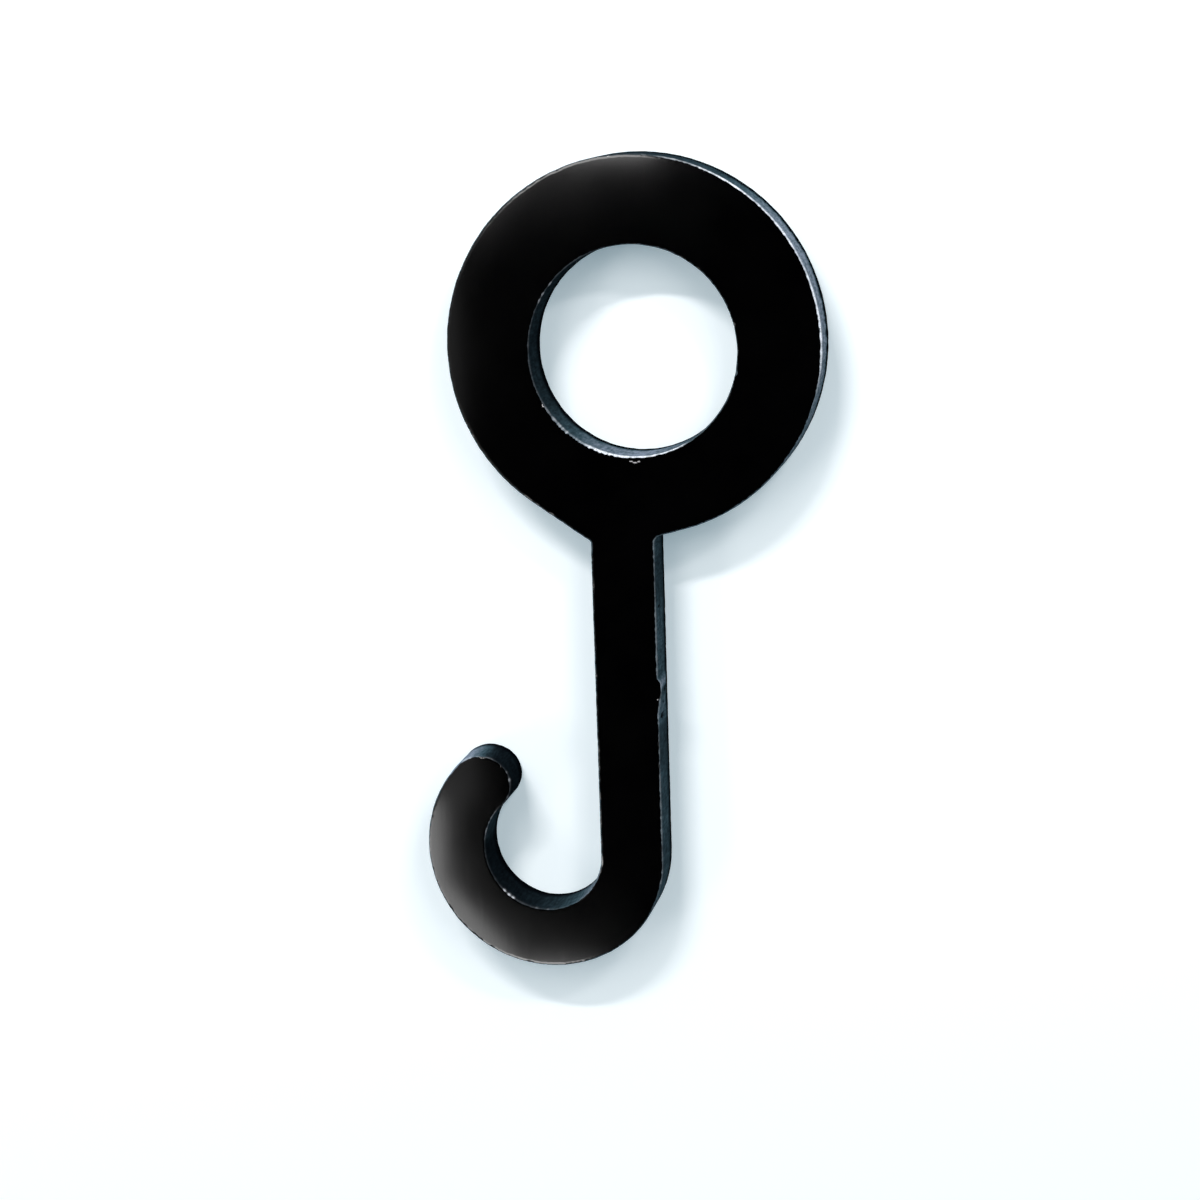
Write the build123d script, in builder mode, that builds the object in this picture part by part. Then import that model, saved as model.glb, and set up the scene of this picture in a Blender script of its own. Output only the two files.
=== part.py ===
from build123d import *
import os
from math import acos, atan2, cos, degrees, hypot, radians, sin, sqrt

# A hook cut from one flat plate. A round eye at the top slides onto a run of
# conduit, and a J below it carries whatever hangs.
# The plate lies in XY with its face up, and the origin is the middle of the eye's bore.
# All sizes are millimetres.

# Driving dimensions: the plate
plate_thickness = 6.35
edge_break = 0.2

# Driving dimensions: the eye
bore_diameter = 25.4
eye_diameter = 45.8
eye_rise = 0.5  # how far the eye's rim stands above centre on the bore

# Driving dimensions: the shank
shank_width = 7.9
shank_offset = 1.9  # the shank's middle line, left of the bore
left_web_drop = 1.6  # how far the left web carries the eye's rim down the shank
right_web_drop = 0.35
left_corner_radius = 0.4
right_corner_radius = 1.0

# Driving dimensions: the J
seat_drop = 70.4  # from the bore to the lowest point of the bowl
hook_reach = 10.8  # from the shank's middle line to the bowl's centre
bowl_radius = 8.0
hook_wall = 7.4
bowl_heel_angle = -117.5  # where the bowl's arc hands over to the tighter heel
back_heel_angle = -52.5  # the same for the outline's arc

# Driving dimensions: the tip
tip_radius = 3.55
tip_lean = 0.35  # how far the tip's centre lies inside the middle of the wall
tip_angle = 134.3  # where the tip's centre stands around the bowl's centre
back_end_angle = 137.0  # where the outline's arc ends
bowl_end_angle = 170.0  # where the bowl's arc ends

# Driving dimensions: the cutter's lead-in mark on the shank's right wall
mark_height = 0.45
mark_top = 40.3  # below the bore
mark_flat = 1.6
mark_fade = 2.8
mark_depth = 4.2

# Places that follow from the sizes
eye_radius = eye_diameter / 2
shank_left = -shank_offset - shank_width / 2
shank_right = -shank_offset + shank_width / 2
hook_radius = bowl_radius + hook_wall
hook_x = -shank_offset - hook_reach
hook_y = bowl_radius - seat_drop


def toward(angle, distance, x=hook_x, y=hook_y):
    """The point at a distance from a centre, in the direction of an angle in degrees."""
    return (x + distance * cos(radians(angle)), y + distance * sin(radians(angle)))


def heading(start, end):
    """The angle in degrees of the line from one point to another."""
    return degrees(atan2(end[1] - start[1], end[0] - start[0]))


def heel_radius(arc_radius, angle, side):
    """The radius of the heel: it leaves the hook's arc at an angle and touches the shank's side."""
    share = cos(radians(angle))
    return (side - hook_x - arc_radius * share) / (1 - share)


def end_radius(arc_radius, angle, tip_side):
    """The radius of the short arc between the hook's arc and the tip.

    It leaves the hook's arc at an angle. It touches the tip from outside it where
    tip_side is 1, as the throat does, and holds the tip inside itself where it is -1.
    """
    along = tip_distance * cos(radians(angle - tip_angle))
    square = arc_radius**2 - 2 * arc_radius * along + tip_distance**2 - tip_radius**2
    return square / (2 * (arc_radius - along + tip_side * tip_radius))


# The heel: one arc for the bowl and one for the outline
bowl_heel_radius = heel_radius(bowl_radius, bowl_heel_angle, shank_left)
back_heel_radius = heel_radius(hook_radius, back_heel_angle, shank_right)
bowl_heel = toward(bowl_heel_angle, bowl_radius - bowl_heel_radius)
back_heel = toward(back_heel_angle, hook_radius - back_heel_radius)

# The tip: a round nose, an arc behind it and an arc into the throat
tip_distance = (bowl_radius + hook_radius) / 2 - tip_lean
tip = toward(tip_angle, tip_distance)
nape_radius = end_radius(hook_radius, back_end_angle, -1)
throat_radius = end_radius(bowl_radius, bowl_end_angle, 1)
nape = toward(back_end_angle, hook_radius - nape_radius)
throat = toward(bowl_end_angle, bowl_radius - throat_radius)
nape_to_tip = heading(nape, tip)
tip_to_throat = heading(tip, throat)

# The webs: a straight line on each side that touches the eye's rim and ends on the shank
left_corner = (shank_left, eye_rise - sqrt(eye_radius**2 - shank_left**2) - left_web_drop)
right_corner = (shank_right, eye_rise - sqrt(eye_radius**2 - shank_right**2) - right_web_drop)


def rim_point(corner, side):
    """Where a line from a shank corner touches the eye's rim, on the left (-1) or the right (1)."""
    distance = hypot(corner[0], corner[1] - eye_rise)
    turn = degrees(acos(eye_radius / distance))
    return toward(heading((0, eye_rise), corner) + side * turn, eye_radius, 0, eye_rise)


def arc(centre, radius, start_angle, end_angle):
    """A round stretch of the outline between two angles."""
    return CenterArc((centre[0], centre[1]), radius, start_angle, end_angle - start_angle)


with BuildPart() as conduit_hook:
    with BuildSketch(Plane.XY.offset(-plate_thickness / 2)) as outline:
        with Locations((0, eye_rise)):
            Circle(eye_radius)
        with BuildLine():
            # down the shank's right side, round the back and over the tip
            Line((shank_right, 0), (shank_right, back_heel[1]))
            arc(back_heel, back_heel_radius, 0, back_heel_angle)
            arc((hook_x, hook_y), hook_radius, back_heel_angle, back_end_angle - 360)
            arc(nape, nape_radius, back_end_angle, nape_to_tip)
            arc(tip, tip_radius, nape_to_tip, tip_to_throat)
            # through the throat, round the bowl and up the shank's left side
            arc(throat, throat_radius, tip_to_throat + 180, bowl_end_angle)
            arc((hook_x, hook_y), bowl_radius, bowl_end_angle, bowl_heel_angle + 360)
            arc(bowl_heel, bowl_heel_radius, bowl_heel_angle, 0)
            Line((shank_left, bowl_heel[1]), (shank_left, 0))
            Line((shank_left, 0), (shank_right, 0))
        make_face()
        with BuildLine():
            left_rim = rim_point(left_corner, -1)
            right_rim = rim_point(right_corner, 1)
            Polyline((0, 0), left_rim, left_corner, right_corner, right_rim, close=True)
        make_face()
        fillet(outline.vertices().sort_by_distance(left_corner)[0], radius=left_corner_radius)
        fillet(outline.vertices().sort_by_distance(right_corner)[0], radius=right_corner_radius)
        Circle(bore_diameter / 2, mode=Mode.SUBTRACT)
    extrude(amount=plate_thickness)

    # both faces have their edges broken all the way round, in the bore too
    face_edges = conduit_hook.faces().filter_by(Axis.Z).edges()
    chamfer(face_edges, length=edge_break)

    # the cutter's lead-in mark hangs from the upper face and fades out down the shank
    mark_root = shank_right - 2 * mark_height
    with BuildSketch(Plane.XY.offset(plate_thickness / 2)):
        with BuildLine():
            Polyline(
                (mark_root, -mark_top),
                (shank_right, -mark_top),
                (shank_right + mark_height, -mark_top - mark_height),
                (shank_right + mark_height, -mark_top - mark_flat),
                (shank_right, -mark_top - mark_flat - mark_fade),
                (mark_root, -mark_top - mark_flat - mark_fade),
                close=True,
            )
        make_face()
    extrude(amount=-mark_depth, taper=degrees(atan2(mark_height / 2, mark_depth)))

conduit_hook.part.label = "conduit_hook"

os.makedirs("parts", exist_ok=True)
export_step(conduit_hook.part, "parts/conduit_hook.step")

box = conduit_hook.part.bounding_box()
print("solids", len(conduit_hook.part.solids()), "volume", round(conduit_hook.part.volume, 1))
print("box", box.min, box.max)
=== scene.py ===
# %% [markdown]
# # A conduit hook
#
# One flat black plate, 6.35 mm thick, cut to a round eye with a J below it. The eye slides onto
# a run of conduit and the J carries whatever hangs. The real one lies flat in front of us.
#
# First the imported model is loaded. It is the measured hook, and it fixes the size and the place.
# Everything in this lesson is in metres, in that model's own frame: the bore's middle is the
# origin, the plate's upper face looks up, and the eye is towards +Y.

import bpy
import numpy as np
from mathutils.geometry import tessellate_polygon
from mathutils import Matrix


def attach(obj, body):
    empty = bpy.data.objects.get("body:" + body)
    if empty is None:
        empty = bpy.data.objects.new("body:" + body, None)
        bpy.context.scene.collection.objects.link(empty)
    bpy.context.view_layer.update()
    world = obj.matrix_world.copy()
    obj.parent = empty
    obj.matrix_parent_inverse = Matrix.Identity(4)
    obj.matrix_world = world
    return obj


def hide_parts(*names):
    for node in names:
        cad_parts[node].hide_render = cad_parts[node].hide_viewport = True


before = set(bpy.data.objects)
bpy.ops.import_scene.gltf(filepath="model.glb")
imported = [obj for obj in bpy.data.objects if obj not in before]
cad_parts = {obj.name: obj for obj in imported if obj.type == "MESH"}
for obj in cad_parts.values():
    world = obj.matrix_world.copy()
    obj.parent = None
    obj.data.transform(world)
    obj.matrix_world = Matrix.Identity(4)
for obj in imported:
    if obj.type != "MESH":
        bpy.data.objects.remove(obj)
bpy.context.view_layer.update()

# %% [markdown]
# ## The sizes
#
# A plate part is described by its outline and its thickness, so a short list of lengths is
# enough. They are the ones a maker would measure with a caliper, in millimetres, turned into
# metres once. Angles are in degrees, counted from +X.

# %% Sizes a caliper would give
MM = 0.001
half_plate = 6.35 / 2 * MM
bore_radius = 25.4 / 2 * MM
eye_radius = 45.8 / 2 * MM
eye_rise = 0.5 * MM
shank_left = -5.85 * MM
shank_right = 2.05 * MM
left_web_drop = 1.6 * MM
right_web_drop = 0.35 * MM
left_corner_radius = 0.4 * MM
right_corner_radius = 1.0 * MM
across = np.array([2 * bore_radius, 2 * eye_radius, shank_right - shank_left])
print("bore, eye and shank are", np.round(across / MM, 2), "mm across")

# %% [markdown]
# The J needs the most sizes. Its bowl and its back share one centre, and the heel, the nape and the
# throat branch off from their arcs at the four angles given last. The tip is a round nose whose
# centre is found from the same centre by an angle and a distance.

# %% Sizes of the J
bowl_radius = 8.0 * MM
hook_radius = 15.4 * MM
hook_centre = np.array([-12.7 * MM, -62.4 * MM])
tip_radius = 3.55 * MM
tip_distance = 11.35 * MM
tip_angle = 134.3
back_end_angle = 137.0
bowl_end_angle = 170.0
bowl_heel_angle = -117.5
back_heel_angle = -52.5
print("the J reaches down to", round((hook_centre[1] - hook_radius) / MM, 2), "mm below the bore")

# %% [markdown]
# ## The outline
#
# The real outline was cut in one pass, and it runs as straight lines and round arcs that touch
# each other without a kink. It could be drawn as a spline by eye, but then the arcs would wander.
# Here each stretch is a formula: a line is a start plus a share of the way, and an arc is a
# centre plus a radius times the cosine and sine of an angle.

# %% Lines and arcs as formulas
fine = 0.02 * MM


def straight(start, end):
    """Start plus a share of the way to the end, for shares from 0 up to but not including 1."""
    start, end = np.asarray(start), np.asarray(end)
    count = max(2, int(np.linalg.norm(end - start) / fine))
    share = np.linspace(0, 1, count, endpoint=False)[:, None]
    return start + share * (end - start)


def arc(centre, radius, first, last):
    """Centre plus radius times (cosine, sine) of an angle that runs from the first to the last."""
    count = max(2, int(radius * abs(np.radians(last - first)) / fine))
    angle = np.radians(np.linspace(first, last, count, endpoint=False))[:, None]
    return np.asarray(centre) + radius * np.hstack([np.cos(angle), np.sin(angle)])


def toward(centre, angle, distance):
    """The point at a distance from a centre, in the direction of an angle."""
    turn = np.radians(angle)
    return np.asarray(centre) + distance * np.array([np.cos(turn), np.sin(turn)])


def heading(start, end):
    """The angle of the way from one point to another."""
    way = np.asarray(end) - np.asarray(start)
    return float(np.degrees(np.arctan2(way[1], way[0])))


print("lines and arcs are drawn in steps of", round(fine / MM, 3), "mm")

# %% [markdown]
# The J is a chain of such arcs. Two of them are free to choose and the ones between have to
# touch both neighbours, which settles their radius. The same small sums are used as in the
# measured hook, so that the dressed piece covers it exactly.

# %% Radii that follow from touching both neighbours
def heel_radius(arc_radius, angle, side):
    """It leaves the hook's arc at an angle and touches the shank's side."""
    share = np.cos(np.radians(angle))
    return (side - hook_centre[0] - arc_radius * share) / (1 - share)


def end_radius(arc_radius, angle, tip_side):
    """It leaves the hook's arc at an angle and touches the tip from outside (1) or inside (-1)."""
    along = tip_distance * np.cos(np.radians(angle - tip_angle))
    square = arc_radius**2 - 2 * arc_radius * along + tip_distance**2 - tip_radius**2
    return square / (2 * (arc_radius - along + tip_side * tip_radius))


bowl_heel_radius = heel_radius(bowl_radius, bowl_heel_angle, shank_left)
back_heel_radius = heel_radius(hook_radius, back_heel_angle, shank_right)
bowl_heel = toward(hook_centre, bowl_heel_angle, bowl_radius - bowl_heel_radius)
back_heel = toward(hook_centre, back_heel_angle, hook_radius - back_heel_radius)
tip = toward(hook_centre, tip_angle, tip_distance)
nape_radius = end_radius(hook_radius, back_end_angle, -1)
throat_radius = end_radius(bowl_radius, bowl_end_angle, 1)
nape = toward(hook_centre, back_end_angle, hook_radius - nape_radius)
throat = toward(hook_centre, bowl_end_angle, bowl_radius - throat_radius)
nape_to_tip = heading(nape, tip)
tip_to_throat = heading(tip, throat)
print("heel radii in mm:", round(bowl_heel_radius / MM, 2), round(back_heel_radius / MM, 2))

# %% [markdown]
# Where the eye meets the shank, a short straight web leaves the round rim without a kink and
# ends in a small inside corner. The cutter's beam or bit is round, so that corner is never
# quite sharp: it gets a small arc of its own.

# %% Webs and inside corners
eye_centre = np.array([0.0, eye_rise])


def shank_corner(side, drop):
    """Where the eye's rim would cross the shank's side, moved down by the web's drop."""
    return np.array([side, eye_rise - np.sqrt(eye_radius**2 - side**2) - drop])


def rim_point(corner, side):
    """Where a line from a corner touches the rim: its heading turned by acos(R / distance)."""
    distance = np.linalg.norm(corner - eye_centre)
    turn = np.degrees(np.arccos(eye_radius / distance))
    return toward(eye_centre, heading(eye_centre, corner) + side * turn, eye_radius)


def inside_corner(before, corner, after, radius):
    """A small arc that touches both ways out of the corner, and the point where it ends.

    Its centre lies at radius / sin(half the corner's angle) from the corner, and it touches
    each way at radius / tan(half the angle).
    """
    way_in = (before - corner) / np.linalg.norm(before - corner)
    way_out = (after - corner) / np.linalg.norm(after - corner)
    half = np.arccos(way_in @ way_out) / 2
    middle = (way_in + way_out) / np.linalg.norm(way_in + way_out)
    centre = corner + middle * radius / np.sin(half)
    arc_start = corner + way_in * radius / np.tan(half)
    arc_end = corner + way_out * radius / np.tan(half)
    first = heading(centre, arc_start)
    last = first + (heading(centre, arc_end) - first + 180) % 360 - 180
    return arc(centre, radius, first, last), arc_end


left_corner = shank_corner(shank_left, left_web_drop)
right_corner = shank_corner(shank_right, right_web_drop)
left_rim = rim_point(left_corner, -1)
right_rim = rim_point(right_corner, 1)
corner_heights = np.array([left_corner[1], right_corner[1]]) / MM
print("the webs meet the shank at y =", np.round(corner_heights, 2), "mm")

# %% [markdown]
# Now the stretches are laid end to end, clockwise as seen from above, and the whole line is
# measured out again in even steps. Even steps matter because the section is later carried along
# the line, and its fine detail should be equally fine everywhere.

# %% The outline and the bore in even steps
def even_steps(stretches, count):
    """Walks the joined stretches as one closed line and marks it at equal distances."""
    points = np.vstack(stretches)
    closed = np.vstack([points, points[:1]])
    walked = np.concatenate([[0], np.cumsum(np.linalg.norm(np.diff(closed, axis=0), axis=1))])
    marks = np.linspace(0, walked[-1], count, endpoint=False)
    even = np.stack([np.interp(marks, walked, closed[:, i]) for i in (0, 1)], axis=1)
    return even, marks, walked[-1]


def outward(points):
    """Across the way between a point's neighbours, to the left of the walk."""
    way = np.roll(points, -1, axis=0) - np.roll(points, 1, axis=0)
    way /= np.linalg.norm(way, axis=1)[:, None]
    return np.stack([-way[:, 1], way[:, 0]], axis=1)


outline_steps = 2600
bore_steps = 680
down_the_shank = -50 * MM
left_way_down = np.array([shank_left, down_the_shank])
right_way_down = np.array([shank_right, down_the_shank])
left_arc, left_leave = inside_corner(left_way_down, left_corner, left_rim, left_corner_radius)
right_arc, right_leave = inside_corner(right_rim, right_corner, right_way_down, right_corner_radius)
rim_start = heading(eye_centre, left_rim) % 360
rim_end = heading(eye_centre, right_rim)
outline, outline_marks, outline_length = even_steps([
    straight(right_leave, (shank_right, back_heel[1])),
    arc(back_heel, back_heel_radius, 0, back_heel_angle),
    arc(hook_centre, hook_radius, back_heel_angle, back_end_angle - 360),
    arc(nape, nape_radius, back_end_angle, nape_to_tip),
    arc(tip, tip_radius, nape_to_tip, tip_to_throat),
    arc(throat, throat_radius, tip_to_throat + 180, bowl_end_angle),
    arc(hook_centre, bowl_radius, bowl_end_angle, bowl_heel_angle + 360),
    arc(bowl_heel, bowl_heel_radius, bowl_heel_angle, 0),
    straight((shank_left, bowl_heel[1]), left_arc[0]),
    left_arc,
    straight(left_leave, left_rim),
    arc(eye_centre, eye_radius, rim_start, rim_end),
    straight(right_rim, right_arc[0]),
    right_arc,
], outline_steps)
bore, bore_marks, bore_length = even_steps([arc((0, 0), bore_radius, 90, 450)], bore_steps)
print("outline and bore are", np.round(np.array([outline_length, bore_length]) / MM, 1), "mm long")

# %% [markdown]
# ## What the cutter left
#
# A sawn, routed or hot-cut plate never has a perfect edge. On the real hook the arris, the line
# where face and wall meet, is a narrow pale break that wavers, and it is torn into small teeth
# at the bore's lower left. The wall under it has faint upright marks. Random numbers from a
# fixed seed give such wear the same shape on each run.

# %% Wavering values along an edge
seed = 11
chance = np.random.default_rng(seed)


def waver(marks, length, spacing):
    """Random values from -1 to 1 at knots one spacing apart, joined by smooth steps."""
    knots = max(3, int(round(length / spacing)))
    values = chance.uniform(-1, 1, knots)
    place = marks / length * knots
    low = np.floor(place).astype(int) % knots
    share = place - np.floor(place)
    ease = share * share * (3 - 2 * share)
    return values[low] * (1 - ease) + values[(low + 1) % knots] * ease


def near(points, place, reach):
    """A bell, 1 at a place and 0 a reach away from it: (1 - (distance / reach) squared) squared."""
    distance = np.linalg.norm(points - np.asarray(place), axis=1) / reach
    return np.clip(1 - distance**2, 0, 1) ** 2


def between(value, low, high, fade):
    """1 where a value lies between two limits, fading to 0 over a distance outside them."""
    return np.clip((value - low) / fade + 1, 0, 1) * np.clip((high - value) / fade + 1, 0, 1)


def bearing(points, centre):
    """The angle of each point round a centre, in degrees."""
    return np.degrees(np.arctan2(points[:, 1] - centre[1], points[:, 0] - centre[0]))


def within(points, centre, radius):
    """True for the points that lie less than a radius from a centre."""
    return np.linalg.norm(points - centre, axis=1) < radius


def beside_shank(points, reach):
    """1 for the points less than a reach from the shank's right side, 0 for all others."""
    return (np.abs(points[:, 0] - shank_right) < reach).astype(float)


print("the wavering of the edges is drawn from seed", seed)

# %% [markdown]
# The break is wide on the eye's upper right, where its pale colour is a painted highlight of the
# arris catching the light. It is thin and dull along the shank, and nearly black on the J apart
# from the throat, the back of the tip and a few bright nicks in the bowl and on the tip.
# `outline_break` is its width in metres, and the pale value says how much pale shows there, from 0
# to 1: the plate's pale torn skin, and on the eye's upper right the painted highlight.

# %% The break round the outline
outline_turn = bearing(outline, eye_centre)
on_eye = (outline[:, 1] > right_corner[1]).astype(float)
upper_right = on_eye * between(outline_turn, 0, 66, 16)
fine_waver = waver(outline_marks, outline_length, 0.32 * MM)
slow_waver = waver(outline_marks, outline_length, 3.0 * MM)
outline_break = (0.16 + 0.05 * upper_right + 0.05 * fine_waver + 0.03 * slow_waver) * MM
# Painted highlight on the eye's upper right; pale torn skin elsewhere.
outline_pale_and_highlight = 0.03 + 0.92 * upper_right + 0.09 * beside_shank(outline, 0.3 * MM)
outline_pale_and_highlight *= 1 + 0.35 * slow_waver + 0.35 * fine_waver

on_throat = within(outline, throat, throat_radius + 0.1 * MM)
throat_line = on_throat * between(bearing(outline, throat), 134, 168, 6)
outline_pale_and_highlight += 0.16 * throat_line * (1 + fine_waver)
on_tip = within(outline, tip, tip_radius + 0.55 * MM)
tip_line = on_tip * between(bearing(outline, tip), 74, 128, 8)
outline_pale_and_highlight += 0.14 * tip_line * (1 + fine_waver)

nick_reach = 0.34 * MM
nick_width = 0.05 * MM
bowl_nicks = [(-18.4, -68.05), (-17.8, -68.55), (-17.3, -68.9), (-14.3, -69.95), (-12.9, -70.05)]
tip_nicks = [(-17.3, -52.5), (-17.1, -53.6), (-17.65, -55.8)]
for spots, torn_share in [(bowl_nicks, 0.75), (tip_nicks, 0.35)]:
    for spot in spots:
        nick = near(outline, np.array(spot) * MM, nick_reach)
        outline_break += nick_width * nick
        outline_pale_and_highlight += torn_share * nick
break_range = np.array([outline_break.min(), outline_break.max()])
print("the break round the outline is", np.round(break_range / MM, 2), "mm wide")

# %% [markdown]
# Round the bore the arris is whole for the most part. At the lower left it is torn into teeth, at
# the foot it is one pale line, and a few small nicks sit at the upper left and on the right. Each
# stretch is marked by its angle round the bore, so that it stays put when the bore is resized.

# %% The torn arris at the foot of the bore
bore_turn = bearing(bore, (0, 0))
torn = between(bore_turn, -142, -104, 12)
foot = between(bore_turn, -112, -67, 8)
bore_teeth = np.abs(waver(bore_marks, bore_length, 0.36 * MM))
bore_waver = waver(bore_marks, bore_length, 1.7 * MM)
bore_chips = waver(bore_marks, bore_length, 0.30 * MM)
bore_break = 0.15 + 0.03 * foot + 0.03 * bore_waver + 0.05 * bore_chips
bore_break = (bore_break + 0.18 * torn * bore_teeth) * MM
bore_pale = 0.05 + 0.90 * foot + 0.36 * torn * bore_teeth
bore_pale *= 1 + 0.25 * bore_waver + 0.35 * bore_chips
notch = near(bore, np.array([12.6, -2.73]) * MM, 0.5 * MM)
bore_break += 0.18 * MM * notch
for nick_turn in (140, 147, 151):
    nick = near(bore, toward((0, 0), nick_turn, bore_radius), 0.45 * MM)
    bore_break += nick_width * nick
    bore_pale += 0.40 * nick
print("teeth up to", round(float((bore_break * torn).max()) / MM, 2), "mm")

# %% [markdown]
# The wall is not one black either. Light and shade are painted into its colour: a painted grey-blue
# light, most on the eye's right, at the foot of the bore and on the tip's far side, less on the
# shank, and hardly at all inside the bowl, which is left dark as painted shade. At its foot the
# wall is painted black as shade. The amounts are given at a few angles round each arc, and every
# step between is read off a line.

# %% Painted light and shade on the wall, round each edge
def read_off(turn, stops):
    """The amount at each angle, read off straight lines between stops of (angle, amount)."""
    angles, amounts = zip(*stops)
    return np.interp(turn, angles, amounts)


# Painted light and shade: lighter where light falls on the wall, darker where it is shaded.
eye_painted_light = read_off(outline_turn, [
    (-180, 0.08), (-95, 0.18), (-40, 0.30), (-5, 0.60), (14, 0.75), (32, 0.80),
    (42, 0.66), (52, 0.32), (62, 0.16), (75, 0.09), (90, 0.06), (180, 0.08),
])
tip_painted_light = read_off(bearing(outline, tip), [
    (-60, 0.02), (64, 0.02), (80, 0.05), (96, 0.24), (117, 0.75), (141, 0.80), (180, 0.80),
])
bowl_painted_light = read_off(bearing(outline, hook_centre), [
    (-180, 0.02), (-123, 0.02), (-102, 0.04), (-83, 0.09), (-64, 0.22), (-50, 0.60),
    (-30, 0.50), (0, 0.20), (120, 0.05), (150, 0.12), (170, 0.08), (180, 0.02),
])
bore_painted_light = read_off(bore_turn, [
    (-180, 0.05), (-150, 0.07), (-130, 0.20), (-110, 0.60), (-88, 0.90),
    (-74, 0.55), (-60, 0.25), (-45, 0.12), (180, 0.05),
])
print("the scuff round the bore peaks at", round(float(bore_painted_light.max()), 2))

# %% [markdown]
# The shank gets a little painted light all along. Three places get more painted light: the back of
# the J beside the tip, and the wall at and below the mark where the cut began. Each is a bell round
# a point, with its reach and its amount.

# %% The painted light of each stretch
# Painted light along the shank and in three bells.
outline_painted_light = 0.15 + 0.05 * slow_waver
for x, y, reach, amount in [
    (-24.2, -53.0, 3.0, 0.65),
    (2.05, -41.0, 0.9, 0.45),
    (2.05, -44.6, 3.4, 0.12),
]:
    outline_painted_light += amount * near(outline, np.array([x, y]) * MM, reach * MM)
in_bowl = within(outline, hook_centre, bowl_radius + 1.2 * MM) & ~on_tip
outline_painted_light = np.where(on_eye > 0, eye_painted_light, outline_painted_light)
outline_painted_light = np.where(on_tip, tip_painted_light, outline_painted_light)
outline_painted_light = np.where(in_bowl, bowl_painted_light, outline_painted_light)
# How far the painted light fades into the painted shade at the wall's foot.
foot_shade_fade = 1.1 * MM


def painted_light_down_wall(light_amount, height, painted_foot_shade):
    """The painted light down the wall: full above a black foot of painted shade, into which it
    fades.
    """
    above = height + half_plate - painted_foot_shade[:, None]
    return light_amount[:, None] * np.clip(above / foot_shade_fade, 0, 1)


print("well scuffed:", int((outline_painted_light > 0.5).sum()), "of", len(outline), "steps")

# %% [markdown]
# ## The section carried along the outline
#
# The edge of a plate is one section everywhere: a strip of the flat face, the rounded break, the
# upright wall, the break below and a strip of the lower face. The section is given as rows. Each
# row has an inset, how far it lies inside the outline, and a height. Carried round the outline
# it makes a grid with one side along the edge and the other down the wall.

# %% The section's rows
break_steps = 5
wall_steps = 12
face_strips = np.array([0.75, 0.25]) * MM
foot_break = 0.2 * MM


def section(width):
    """Inset and height of each row for each step of the outline.

    The face strips lie at the plate's height. The break is a quarter circle: its inset is the
    width times (1 - sin) and its drop the width times (1 - cos). The wall goes straight down,
    and the lower break and strips mirror the upper ones.
    """
    width = width[:, None]
    bend = np.radians(np.linspace(0, 90, break_steps + 1))[None, :]
    down = np.linspace(0, 1, wall_steps + 1)[None, 1:-1]
    ones = np.ones_like(width)
    strip_ones = np.ones((1, len(face_strips)))
    wall_top = half_plate - width
    wall_foot = -half_plate + foot_break
    inset = np.hstack([
        width + face_strips[None, :],
        width * (1 - np.sin(bend)),
        ones * 0 * down,
        ones * foot_break * (1 - np.sin(bend[:, ::-1])),
        ones * (foot_break + face_strips[None, ::-1]),
    ])
    height = np.hstack([
        ones * half_plate * strip_ones,
        half_plate - width * (1 - np.cos(bend)),
        wall_top + (wall_foot - wall_top) * down,
        ones * (-half_plate + foot_break * (1 - np.cos(bend[:, ::-1]))),
        -ones * half_plate * strip_ones,
    ])
    return inset, height


inset, height = section(outline_break)
bore_inset, bore_height = section(bore_break)
rows = inset.shape[1]
print("one section has", rows, "rows")

# %% [markdown]
# ## Marks on the wall
#
# The wall is not a perfect cylinder or plane. The cutter leaves shallow upright waves a few
# hundredths of a millimetre deep, which lean a little because the cut lags behind at the foot.
# They only ever go into the plate, so the piece never grows past its measured size. Half-way
# down the shank the cut began and ended, which left a small lump. Three pits lie on and below it
# and a smaller one above it.

# %% Waves, the lead-in lump and the pits
wave_lean = 0.35


def wall_waves(marks, length, height, depth, spacing):
    """Waves that lean along the edge as the height falls: depth times a waver, never outward."""
    shifted = (marks[:, None] + wave_lean * (half_plate - height)) % length
    wave = waver(shifted, length, spacing)
    return depth * (0.5 + 0.5 * wave)


mark_height = 0.45 * MM
mark_top = 40.3 * MM
mark_flat = 1.6 * MM
mark_fade = 2.8 * MM
mark_depth = 4.2 * MM
mark_foot = 0.5 * MM
mark_end = mark_depth + 0.35 * MM
wall_reach = 0.5 * MM


def lead_in(points, height):
    """A lump that starts with a slope, runs level and fades out, and thins to half at its foot."""
    level_end = mark_top + mark_flat
    places = [mark_top, mark_top + mark_height, level_end, level_end + mark_fade]
    lump = np.interp(-points[:, 1], places, [0, mark_height, mark_height, 0])
    lump = lump * beside_shank(points, wall_reach)
    drop = half_plate - height
    thin = 1 - 0.5 * np.clip(drop / mark_depth, 0, 1)
    return lump[:, None] * thin * np.clip((mark_end - drop) / mark_foot, 0, 1)


def pit(points, height, y, drop, wide, tall, deep):
    """A round dent in the wall: deep times (1 - distance squared), measured wide by tall."""
    along = (points[:, 1] - y)[:, None] / wide
    down = (half_plate - height - drop) / tall
    side = beside_shank(points, wall_reach)[:, None]
    return side * deep * np.clip(1 - along**2 - down**2, 0, 1)


print("the lead-in lump is", round(mark_height / MM, 2), "mm high")


# %% [markdown]
# ## The mesh
#
# Each edge is now a grid: steps along by rows down. Two such grids, one for the outline and one
# for the bore, are joined by the upper and lower face. The faces are flat, so they need no
# grid: they are filled between the two inner rows. The strips beside each break keep the
# shading of the faces flat right up to the edge.

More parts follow.
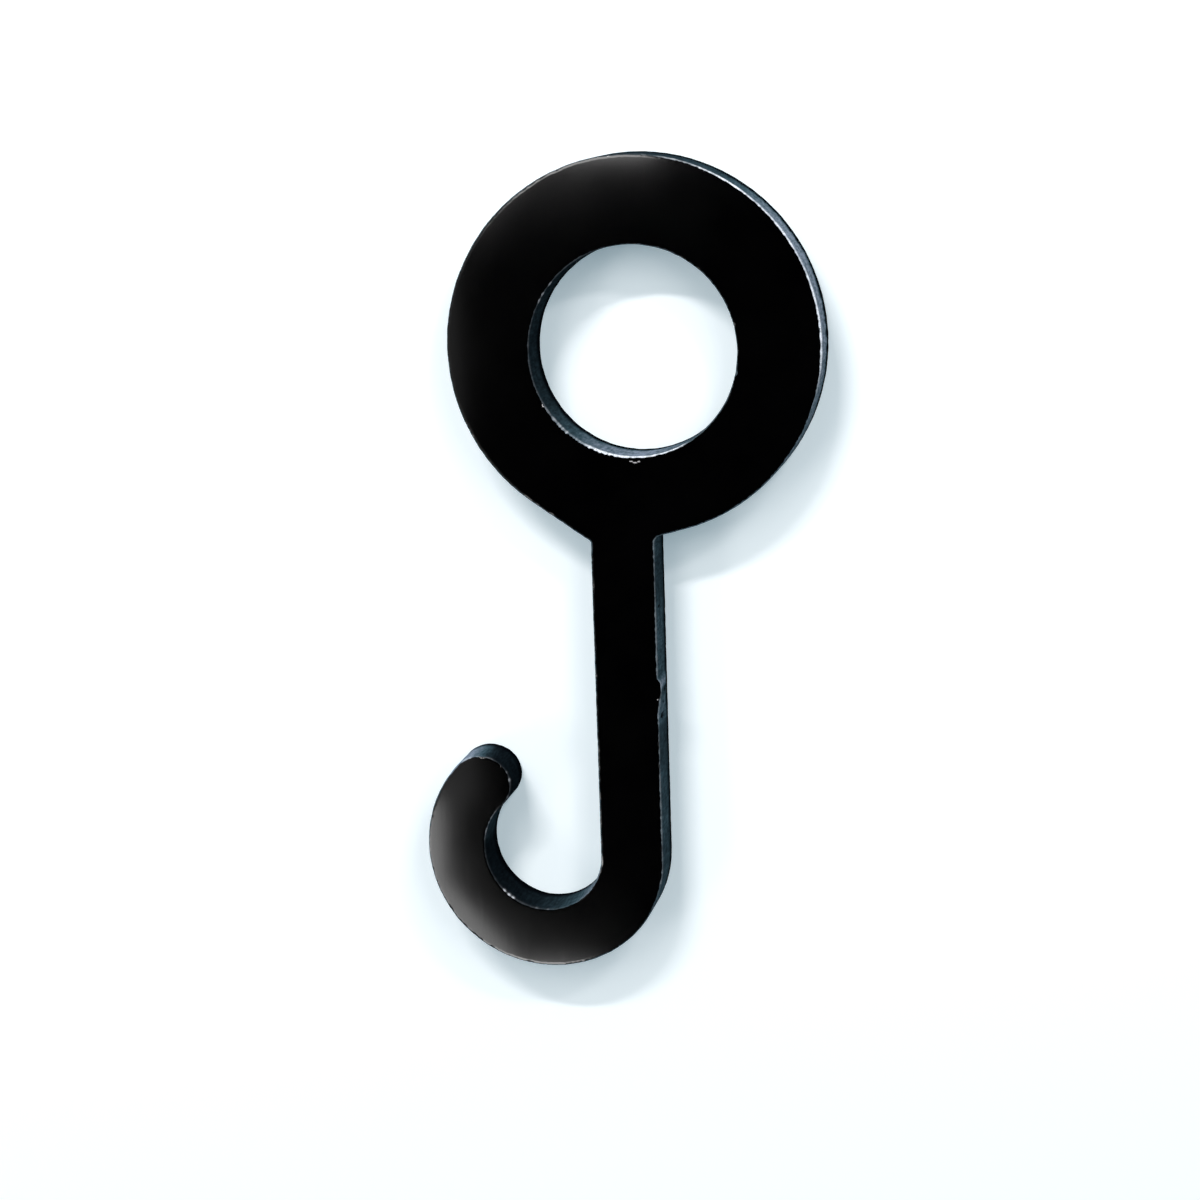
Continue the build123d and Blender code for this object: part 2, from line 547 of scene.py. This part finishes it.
# %% Edge grids
def edge_grid(points, inset, height):
    """Each point moved against its outward direction by the inset, at its height."""
    flat = points[:, None, :] - outward(points)[:, None, :] * inset[:, :, None]
    return np.concatenate([flat, height[:, :, None]], axis=2)


first_break = len(face_strips)
on_wall = np.zeros(rows)
on_wall[first_break + 1:-first_break - 1] = 1.0

shape = np.zeros_like(height)
for depth, spacing in [(0.03, 0.9), (0.02, 0.35)]:
    waves = wall_waves(outline_marks, outline_length, height, depth * MM, spacing * MM)
    shape = shape + on_wall[None, :] * waves
pits = np.zeros_like(height)
for y, drop, wide, tall, deep in [
    (-42.15, 3.6, 0.42, 1.3, 0.35),
    (-43.85, 2.9, 0.24, 0.7, 0.15),
    (-45.45, 2.6, 0.40, 1.1, 0.28),
    (-31.6, 2.2, 0.22, 0.7, 0.12),
]:
    pits = pits + pit(outline, height, y * MM, drop * MM, wide * MM, tall * MM, deep * MM)
shape = shape - lead_in(outline, height) + pits
outline_grid = edge_grid(outline, inset + shape, height)

bore_waves = wall_waves(bore_marks, bore_length, bore_height, 0.04 * MM, 0.7 * MM)
bore_grid = edge_grid(bore, bore_inset + on_wall[None, :] * bore_waves, bore_height)
print("grids:", outline_grid.shape[:2], bore_grid.shape[:2])

# %% [markdown]
# The grids share no points with each other, but each face of the plate runs from the outline's
# innermost row to the bore's. Filling that ring with triangles closes the piece, so it has no
# open seam and a clear inside and outside.

# %% Joining the grids and faces into one closed piece
def grid_faces(steps, first):
    """Four corners per cell, round the loop and down the rows, facing outward."""
    step, row = np.meshgrid(np.arange(steps), np.arange(rows - 1), indexing="ij")
    here = first + step * rows + row
    there = first + ((step + 1) % steps) * rows + row
    return np.stack([here, there, there + 1, here + 1], axis=2).reshape(-1, 4)


def face_fill(row, upward):
    """Triangles between the outline's and the bore's inner row, turned to face up or down."""
    loops = [outline_grid[:, row], bore_grid[:, row]]
    owner = np.concatenate([
        np.arange(len(outline)) * rows + row % rows,
        outline_count + np.arange(len(bore)) * rows + row % rows,
    ])
    corners = owner[np.array(tessellate_polygon([loop.tolist() for loop in loops]))]
    spot = vertices[corners]
    side = np.cross(spot[:, 1] - spot[:, 0], spot[:, 2] - spot[:, 0])[:, 2]
    turned = (side > 0) != upward
    corners[turned] = corners[turned][:, ::-1]
    return corners[np.abs(side) > 0]


outline_count = len(outline) * rows
vertices = np.vstack([outline_grid.reshape(-1, 3), bore_grid.reshape(-1, 3)])
faces = grid_faces(len(outline), 0).tolist()
faces += grid_faces(len(bore), outline_count).tolist()
faces += face_fill(0, True).tolist()
faces += face_fill(-1, False).tolist()

plate_mesh = bpy.data.meshes.new("hook_plate")
plate_mesh.from_pydata(vertices.tolist(), [], faces)
plate_mesh.polygons.foreach_set("use_smooth", np.ones(len(plate_mesh.polygons), dtype=bool))
plate_mesh.update()
hook_plate = bpy.data.objects.new("hook_plate", plate_mesh)
bpy.context.scene.collection.objects.link(hook_plate)
plate_mesh.calc_loop_triangles()
print("hook_plate:", len(vertices), "vertices,", len(plate_mesh.loop_triangles), "triangles")

# %% [markdown]
# The finish needs to know where the arris is pale and how much painted light the wall gets. The
# mesh carries one value per vertex for each, which costs nothing and follows the edge exactly. The
# wall's painted black foot, a painted shade where it meets the table, is higher on the eye than
# below it, and the pits get no painted light, so they stay black as painted shade.

# %% Values for the finish
def store(name, outline_values, bore_values):
    """Writes one number per vertex into the mesh, for the material to read."""
    values = np.concatenate([outline_values.ravel(), bore_values.ravel()]).astype(np.float32)
    layer = plate_mesh.attributes.new(name, "FLOAT", "POINT")
    layer.data.foreach_set("value", np.clip(values, 0, 1))
    return round(float(values.mean()), 3)


eye_fade = 4 * MM
pit_shade_depth = 0.06 * MM
eye_share = np.clip((outline[:, 1] - right_corner[1]) / eye_fade, 0, 1)
# The wall's foot, round the outline and the bore, is painted black as the shade where it meets the
# table.
painted_foot_shade = (0.9 + eye_share * (0.8 + 0.35 * fine_waver) + 0.2 * slow_waver) * MM
outline_wall_light = painted_light_down_wall(outline_painted_light, height, painted_foot_shade)
# The pits are painted black as shade: no painted light where they are deeper than this.
outline_wall_light = outline_wall_light * (1 - np.clip(pits / pit_shade_depth, 0, 1))
bore_wall_light = painted_light_down_wall(bore_painted_light, bore_height, (1.2 + 0.2 * bore_waver) * MM)

across_break = np.sin(np.linspace(0, np.pi, break_steps + 1)) ** 0.5
on_break = np.zeros(rows)
on_break[first_break:first_break + break_steps + 1] = np.clip(across_break, 0.25, 1)
# Pale break: torn skin, and a painted highlight on the eye's upper right.
pale_outline_and_highlight = on_break[None, :] * outline_pale_and_highlight[:, None]
pale_bore = on_break[None, :] * bore_pale[:, None]
print("torn_skin_and_highlight, mean:", store("torn_skin_and_highlight", pale_outline_and_highlight, pale_bore))
print("scuffed, mean:", store("painted_wall_light", outline_wall_light, bore_wall_light))

# %% [markdown]
# ## The finish
#
# The plate is black all through. Its face is smooth with a satin gloss, so it looks deep black
# apart from soft reflections at its left and lower rim. The cut wall is dull, with a fine upright
# grain, and its blue-grey is painted light and shade. Where the arris is torn, the plastic has
# turned pale, as black plastic does when it is stressed; on the eye's upper right the pale arris is
# a painted highlight. All patterns come from the piece's own coordinates.
#
# A finish is a tree of small nodes, and joining them one by one takes many lines. A few helpers
# keep the trees short: most of them add a node, set its inputs and return what comes out of it.

# %% Helpers for the node trees
def new_finish(name):
    """An empty material, whose node tree the helpers below fill."""
    made = bpy.data.materials.new(name)
    made.use_nodes = True
    made.node_tree.nodes.clear()
    return made


def node(kind, **settings):
    """Adds a node and sets its properties by name."""
    made = tree.nodes.new(kind)
    for name, value in settings.items():
        setattr(made, name, value)
    return made


def feed(source, target):
    """Sets a socket to a number or a colour, or joins another socket to it."""
    if isinstance(source, bpy.types.NodeSocket):
        tree.links.new(source, target)
    else:
        target.default_value = source


def calc(operation, first, second=0.0, third=0.0, clamp=False):
    """One step of arithmetic on one number per shaded point."""
    made = node("ShaderNodeMath", operation=operation, use_clamp=clamp)
    for value, socket in zip((first, second, third), made.inputs):
        feed(value, socket)
    return made.outputs[0]


def spread(value, low, high, new_low=0.0, new_high=1.0):
    """Stretches a range of values onto another and cuts off what lies outside."""
    made = node("ShaderNodeMapRange")
    for given, socket in zip((value, low, high, new_low, new_high), made.inputs):
        feed(given, socket)
    return made.outputs[0]


print("node helpers: new_finish, node, feed, calc, spread")

# %% [markdown]
# Three more helpers make what a finish is built from: random grain, a mix of two colours, and the
# surface itself. The grain fills space and the piece is cut out of it, as with stone, so no
# pattern has to be wrapped round the edge.

# %% Helpers for grain, colour and surface
def noise(size, detail=2.0, stretch=(1, 1, 1)):
    """Random grain of a size in metres, stretched along an axis by dividing there."""
    moved = node("ShaderNodeMapping", vector_type="POINT")
    feed(place.outputs["Object"], moved.inputs["Vector"])
    feed([1 / (size * s) for s in stretch], moved.inputs["Scale"])
    made = node("ShaderNodeTexNoise")
    feed(moved.outputs[0], made.inputs["Vector"])
    feed(1.0, made.inputs["Scale"])
    feed(detail, made.inputs["Detail"])
    return made.outputs["Fac"]


def mixed(share, first, second):
    """Two colours mixed by a share."""
    made = node("ShaderNodeMix", data_type="RGBA")
    feed(share, made.inputs["Factor"])
    feed(first, made.inputs[6])
    feed(second, made.inputs[7])
    return made.outputs[2]


def shade(colour, roughness, level, relief_height, relief_depth):
    """The surface: a colour, a roughness, how strongly it mirrors, and a fine relief."""
    surface = node("ShaderNodeBsdfPrincipled")
    output = node("ShaderNodeOutputMaterial")
    relief = node("ShaderNodeBump")
    feed(relief_height, relief.inputs["Height"])
    feed(0.6, relief.inputs["Strength"])
    feed(relief_depth, relief.inputs["Distance"])
    feed(colour, surface.inputs["Base Color"])
    feed(roughness, surface.inputs["Roughness"])
    feed(1.5, surface.inputs["IOR"])
    feed(level, surface.inputs["Specular IOR Level"])
    feed(relief.outputs[0], surface.inputs["Normal"])
    feed(surface.outputs[0], output.inputs["Surface"])


print("finish helpers: noise, mixed, shade")

# %% [markdown]
# The face first. A satin face is never perfectly even: handling leaves hair-fine scratches and a
# faint haze. They hardly change the colour, only how sharply the face reflects, so they go into
# the roughness. Beside the bore and the shank a few tiny pale nicks break the black. Each is a
# small oval round a measured place: 1 where (x / width) squared + (y / height) squared is small.

# %% The face
face_finish = new_finish("black_plate_face")
tree = face_finish.node_tree
place = node("ShaderNodeTexCoord")
face_black = (0.0001, 0.0001, 0.0002, 1)
face_haze = (0.0005, 0.0005, 0.0006, 1)
nick_pale = (0.42, 0.41, 0.42, 1)
haze = noise(7 * MM, 3.0)
hairs = noise(0.22 * MM, 1.0, (1, 30, 1))
nick_grain = noise(0.07 * MM, 2.0)
spot = node("ShaderNodeSeparateXYZ")
feed(place.outputs["Object"], spot.inputs[0])


def oval(x, y, wide, tall):
    """1 inside a ragged oval at a place in millimetres, 0 outside it."""
    across = calc("DIVIDE", calc("SUBTRACT", spot.outputs["X"], x * MM), wide * MM)
    along = calc("DIVIDE", calc("SUBTRACT", spot.outputs["Y"], y * MM), tall * MM)
    square = calc("ADD", calc("MULTIPLY", across, across), calc("MULTIPLY", along, along))
    return spread(calc("ADD", square, nick_grain), 1.45, 1.0)


smile_left = oval(-0.50, -13.31, 0.26, 0.08)
smile_low = oval(-0.02, -13.46, 0.34, 0.09)
smile_right = oval(0.46, -13.32, 0.18, 0.10)
hair_nick = oval(-11.02, -6.62, 0.26, 0.07)
hair_branch = oval(-11.22, -6.45, 0.07, 0.22)
shank_speck = oval(1.96, -42.90, 0.09, 0.09)
nicks = smile_left
for more in (smile_low, smile_right, hair_nick, hair_branch, shank_speck):
    nicks = calc("MAXIMUM", nicks, more)
face_colour = mixed(nicks, mixed(spread(haze, 0.35, 0.65), face_black, face_haze), nick_pale)
face_rough = calc("ADD", spread(haze, 0.3, 0.7, 0.098, 0.112), spread(hairs, 0.66, 0.74, 0.0, 0.02))
face_rough = calc("ADD", face_rough, calc("MULTIPLY", nicks, 0.4))
shade(face_colour, face_rough, 0.5, hairs, 0.0006 * MM)
plate_mesh.materials.append(face_finish)
print("the face's finish has", len(tree.nodes), "nodes")

# %% [markdown]
# Then the edge. The cut wall scatters all its light. It stays dark in the picture even where it is
# seen almost along its surface and a gloss would mirror the white table, so its material has no
# gloss at all. Instead the light on the wall is painted: its amounts are read from the mesh and
# mottled by upright grain and by clouds, a little painted light gives a dark blue-green and more
# gives grey-blue. The pale arris is read the same way and broken up by finer grain, so that it is a
# ragged line.

# %% The cut edge
edge_finish = new_finish("black_plate_edge")
tree = edge_finish.node_tree
place = node("ShaderNodeTexCoord")
# The two attributes carry the pale arris, partly a painted highlight, and the painted light and
# shade on the wall.
torn_skin_and_highlight = node("ShaderNodeAttribute", attribute_name="torn_skin_and_highlight").outputs["Fac"]
painted_wall_light = node("ShaderNodeAttribute", attribute_name="painted_wall_light").outputs["Fac"]
wall_black = (0.0012, 0.0016, 0.0028, 1)
# Black is the wall's own colour; the teal and grey-blue are painted light on it.
lit_wall_teal = (0.038, 0.072, 0.092, 1)
lit_wall_grey = (0.200, 0.250, 0.320, 1)
# Pale of the torn arris, also used for the painted highlight.
pale_tear_and_highlight = (0.88, 0.93, 1.0, 1)
wall_grain = noise(0.26 * MM, 3.0, (1, 1, 5))
wall_cloud = noise(1.1 * MM, 2.0)
grain_mottle = spread(wall_grain, 0.34, 0.66, 0.66, 1.36)
mottle = calc("MULTIPLY", grain_mottle, spread(wall_cloud, 0.36, 0.62, 0.80, 1.22))
# Painted light mottled by grain: none stays black, a little gives teal, more gives grey-blue.
mottled_wall_light = calc("MULTIPLY", painted_wall_light, mottle, clamp=True)
dim_lit_wall = mixed(spread(mottled_wall_light, 0.0, 0.25), wall_black, lit_wall_teal)
wall_colour = mixed(spread(mottled_wall_light, 0.25, 1.0), dim_lit_wall, lit_wall_grey)
tear_grain = noise(0.13 * MM, 2.0)
# The pale arris: torn skin, and on the eye's upper right a painted highlight.
tear_and_highlight = calc("MULTIPLY", torn_skin_and_highlight, spread(tear_grain, 0.34, 0.50, 0.35, 1.0))
edge_colour = mixed(tear_and_highlight, wall_colour, pale_tear_and_highlight)
edge_rough = spread(wall_grain, 0.3, 0.7, 0.74, 0.90)
shade(edge_colour, edge_rough, 0.0, wall_grain, 0.02 * MM)
plate_mesh.materials.append(edge_finish)
print("the edge's finish has", len(tree.nodes), "nodes")

# %% [markdown]
# Each cell of the mesh takes one of the two finishes. The filled faces and the strips beside them
# are face, and all that lies between the upper and the lower break is edge.

# %% Which cells of the mesh are edge
def edge_cells(steps):
    """1 for the cells between the first and the last row of the break, 0 for the strips of face."""
    cells = np.zeros((steps, rows - 1), dtype=int)
    cells[:, first_break:-first_break] = 1
    return cells.ravel()


finish_of = np.zeros(len(plate_mesh.polygons), dtype=int)
edge_count = (len(outline) + len(bore)) * (rows - 1)
finish_of[:edge_count] = np.concatenate([edge_cells(len(outline)), edge_cells(len(bore))])
plate_mesh.polygons.foreach_set("material_index", finish_of)
plate_mesh.update()
print("edge cells:", int(finish_of.sum()), "of", len(finish_of))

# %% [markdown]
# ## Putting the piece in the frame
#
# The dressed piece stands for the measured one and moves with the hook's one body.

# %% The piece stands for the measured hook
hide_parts("conduit_hook")
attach(hook_plate, "root")
print("hook_plate rides on root")

# %% [markdown]
# ## The table it lies on
#
# A white sheet, as in a catalogue picture. Near the hook only a small part of its whiteness is its
# own light, so that it keeps the shadows. Farther off, where the lamps don't reach, that part
# grows and the sheet stays white. Its own light shows to the camera and in gloss alone.

# %% White ground
ground_reach = 1.5
signs = [(-1, -1), (1, -1), (1, 1), (-1, 1)]
ground_corners = [(x * ground_reach, y * ground_reach, -half_plate) for x, y in signs]
ground_mesh = bpy.data.meshes.new("ground")
ground_mesh.from_pydata(ground_corners, [], [(0, 1, 2, 3)])
ground = bpy.data.objects.new("ground", ground_mesh)
bpy.context.scene.collection.objects.link(ground)

white_sheet = new_finish("white_sheet")
tree = white_sheet.node_tree
ray = node("ShaderNodeLightPath")
seen_or_mirrored = calc("MAXIMUM", ray.outputs["Is Camera Ray"], ray.outputs["Is Glossy Ray"])
place = node("ShaderNodeTexCoord")
away = node("ShaderNodeVectorMath", operation="LENGTH")
feed(place.outputs["Object"], away.inputs[0])
near_ground = 0.2
far_ground = 0.8


def over_distance(near_value, far_value):
    """A value that changes evenly between the near and the far ground."""
    return spread(away.outputs["Value"], near_ground, far_ground, near_value, far_value)


near_tint = (0.58, 0.86, 1.0, 1)
far_tint = (0.96, 0.98, 1.0, 1)
sheet_surface = node("ShaderNodeBsdfPrincipled")
sheet_output = node("ShaderNodeOutputMaterial")
feed((0.92, 0.92, 0.92, 1), sheet_surface.inputs["Base Color"])
feed(0.9, sheet_surface.inputs["Roughness"])
feed(0.1, sheet_surface.inputs["Specular IOR Level"])
feed(mixed(over_distance(0.0, 1.0), near_tint, far_tint), sheet_surface.inputs["Emission Color"])
own_light = calc("MULTIPLY", seen_or_mirrored, over_distance(0.30, 0.72))
feed(own_light, sheet_surface.inputs["Emission Strength"])
feed(sheet_surface.outputs[0], sheet_output.inputs["Surface"])
ground_mesh.materials.append(white_sheet)
print("ground at z =", round(-half_plate / MM, 3), "mm")

# %% [markdown]
# ## Light
#
# The picture's shadows tell where the light was. Most of it came from beyond the eye, on the
# left, from about 45 degrees up to nearly overhead, and about half as much from the same height
# on the right. A little came from the near left. The rest is soft daylight from low down all
# round.
#
# First the daylight, as the colour of the sky. It fades out with height, so it leaves no haze
# on the face.

# %% Soft light from low all round
world = bpy.data.worlds.new("studio")
bpy.context.scene.world = world
world.use_nodes = True
tree = world.node_tree
tree.nodes.clear()
sky_strength = 0.47
fade_starts = 0.55
fade_ends = 0.80
direction = node("ShaderNodeTexCoord")
split = node("ShaderNodeSeparateXYZ")
climb = node("ShaderNodeMapRange", interpolation_type="SMOOTHSTEP")
glow = node("ShaderNodeBackground")
plain = node("ShaderNodeBackground")
seen = node("ShaderNodeLightPath")
choose = node("ShaderNodeMixShader")
out = node("ShaderNodeOutputWorld")
feed(direction.outputs["Generated"], split.inputs[0])
feed(split.outputs["Z"], climb.inputs["Value"])
feed(fade_starts, climb.inputs["From Min"])
feed(fade_ends, climb.inputs["From Max"])
feed(sky_strength, climb.inputs["To Min"])
feed(0.0, climb.inputs["To Max"])
feed((0.93, 0.97, 1.0, 1), glow.inputs["Color"])
feed(climb.outputs[0], glow.inputs["Strength"])
feed((1, 1, 1, 1), plain.inputs["Color"])
feed(seen.outputs["Is Camera Ray"], choose.inputs["Fac"])
feed(glow.outputs[0], choose.inputs[1])
feed(plain.outputs[0], choose.inputs[2])
feed(choose.outputs[0], out.inputs["Surface"])
print("the sky is dark above", round(float(np.degrees(np.arcsin(fade_ends)))), "degrees")

# %% [markdown]
# The lamps hang level, half a metre above the table. Left and right beyond the eye hangs a pair of
# panels each, one low in the sky and one that reaches up towards overhead, and a fifth panel
# hangs at the near left. A panel is given by its corners and by its share of the light on the
# table. A level lamp of power P lights the table below at P / (pi squared times height squared),
# less by (1 + slope squared) squared aside of it, and that is turned round to get the power.

# %% Five panels light the table
ceiling = 0.49


def level_lamp(name, low, high, height, power):
    """A flat lamp that looks straight down, between two corners at a height."""
    light = bpy.data.lights.new(name, "AREA")
    light.shape = "RECTANGLE"
    light.size = high[0] - low[0]
    light.size_y = high[1] - low[1]
    light.energy = power
    made = bpy.data.objects.new(name, light)
    made.location = ((low[0] + high[0]) / 2, (low[1] + high[1]) / 2, height)
    made.visible_camera = False
    bpy.context.scene.collection.objects.link(made)
    return made


def ceiling_panel(name, low, high, share):
    """Its power follows from its share of the table's light and from how far aside it hangs."""
    middle = (np.array(low) + np.array(high)) / 2
    slope_squared = float(middle @ middle) / ceiling**2
    power = share * np.pi**2 * ceiling**2 * (1 + slope_squared) ** 2
    return level_lamp(name, low, high, ceiling, power)


ceiling_panel("left_low", (-0.34, 0.50), (-0.06, 0.55), 0.40)
ceiling_panel("right_low", (0.30, 0.47), (0.50, 0.55), 0.12)
ceiling_panel("left_near", (-0.74, -0.50), (-0.54, -0.20), 0.06)
left_high = ceiling_panel("left_high", (-0.28, 0.05), (-0.08, 0.42), 0.17)
right_high = ceiling_panel("right_high", (0.19, 0.05), (0.40, 0.40), 0.15)
left_high.visible_glossy = False
right_high.visible_glossy = False
print("five panels, half a metre above the table")

# %% [markdown]
# The face mirrors something pale along the J's lower left and the eye's upper left, which fades
# out within a few millimetres of the rim. That is no light of the room but something small and
# bright close above the plate: only so does the reflection change so fast across the face. Six
# cards stand for it. They show only in gloss and light nothing.

# %% Cards that the face mirrors
card_height = 0.09


def mirrored_card(name, low, high, radiance, turn=0.0):
    """A level card that only shows in gloss: its power is radiance times pi times its area."""
    area = (high[0] - low[0]) * (high[1] - low[1])
    made = level_lamp(name, low, high, card_height, radiance * np.pi * area)
    made.rotation_euler[2] = np.radians(turn)
    made.visible_diffuse = False
    return made


mirrored_card("card_lower_left", (-0.1516, -0.1180), (-0.0509, -0.0824), 5.0)
mirrored_card("card_corner", (-0.0602, -0.1138), (-0.0402, -0.0998), 4.5, turn=-48.7)
mirrored_card("card_left", (-0.1449, -0.0824), (-0.0449, 0.0530), 0.45)
mirrored_card("card_below", (-0.0616, -0.1904), (-0.0265, -0.1099), 7.8)
mirrored_card("card_upper_left", (-0.0649, 0.0197), (-0.0128, 0.1006), 7.2)
mirrored_card("card_beside_eye", (-0.0499, 0.0123), (-0.0339, 0.0263), 4.4, turn=42.0)
print("six cards,", round(card_height / MM), "mm above the plate's middle")

# %% [markdown]
# ## The camera
#
# The picture looks almost straight down, from a third of a metre above, a little from the right
# and from beyond the eye, so the walls that face right and up just show.

# %% Camera at the picture's angle
camera_place = (63.59 * MM, 36.96 * MM, 319.23 * MM)
camera_turn = np.radians([-12.166, 11.838, -1.866])
camera_data = bpy.data.cameras.new("camera")
camera_data.sensor_width = 36.0
camera_data.lens = 81.0
camera_data.clip_start = 0.01
camera = bpy.data.objects.new("camera", camera_data)
camera.location = camera_place
camera.rotation_euler = camera_turn
bpy.context.scene.collection.objects.link(camera)
bpy.context.scene.camera = camera
bpy.context.scene.view_settings.view_transform = "Standard"
print("camera", round(float(np.linalg.norm(camera.location)) / MM), "mm from the bore")
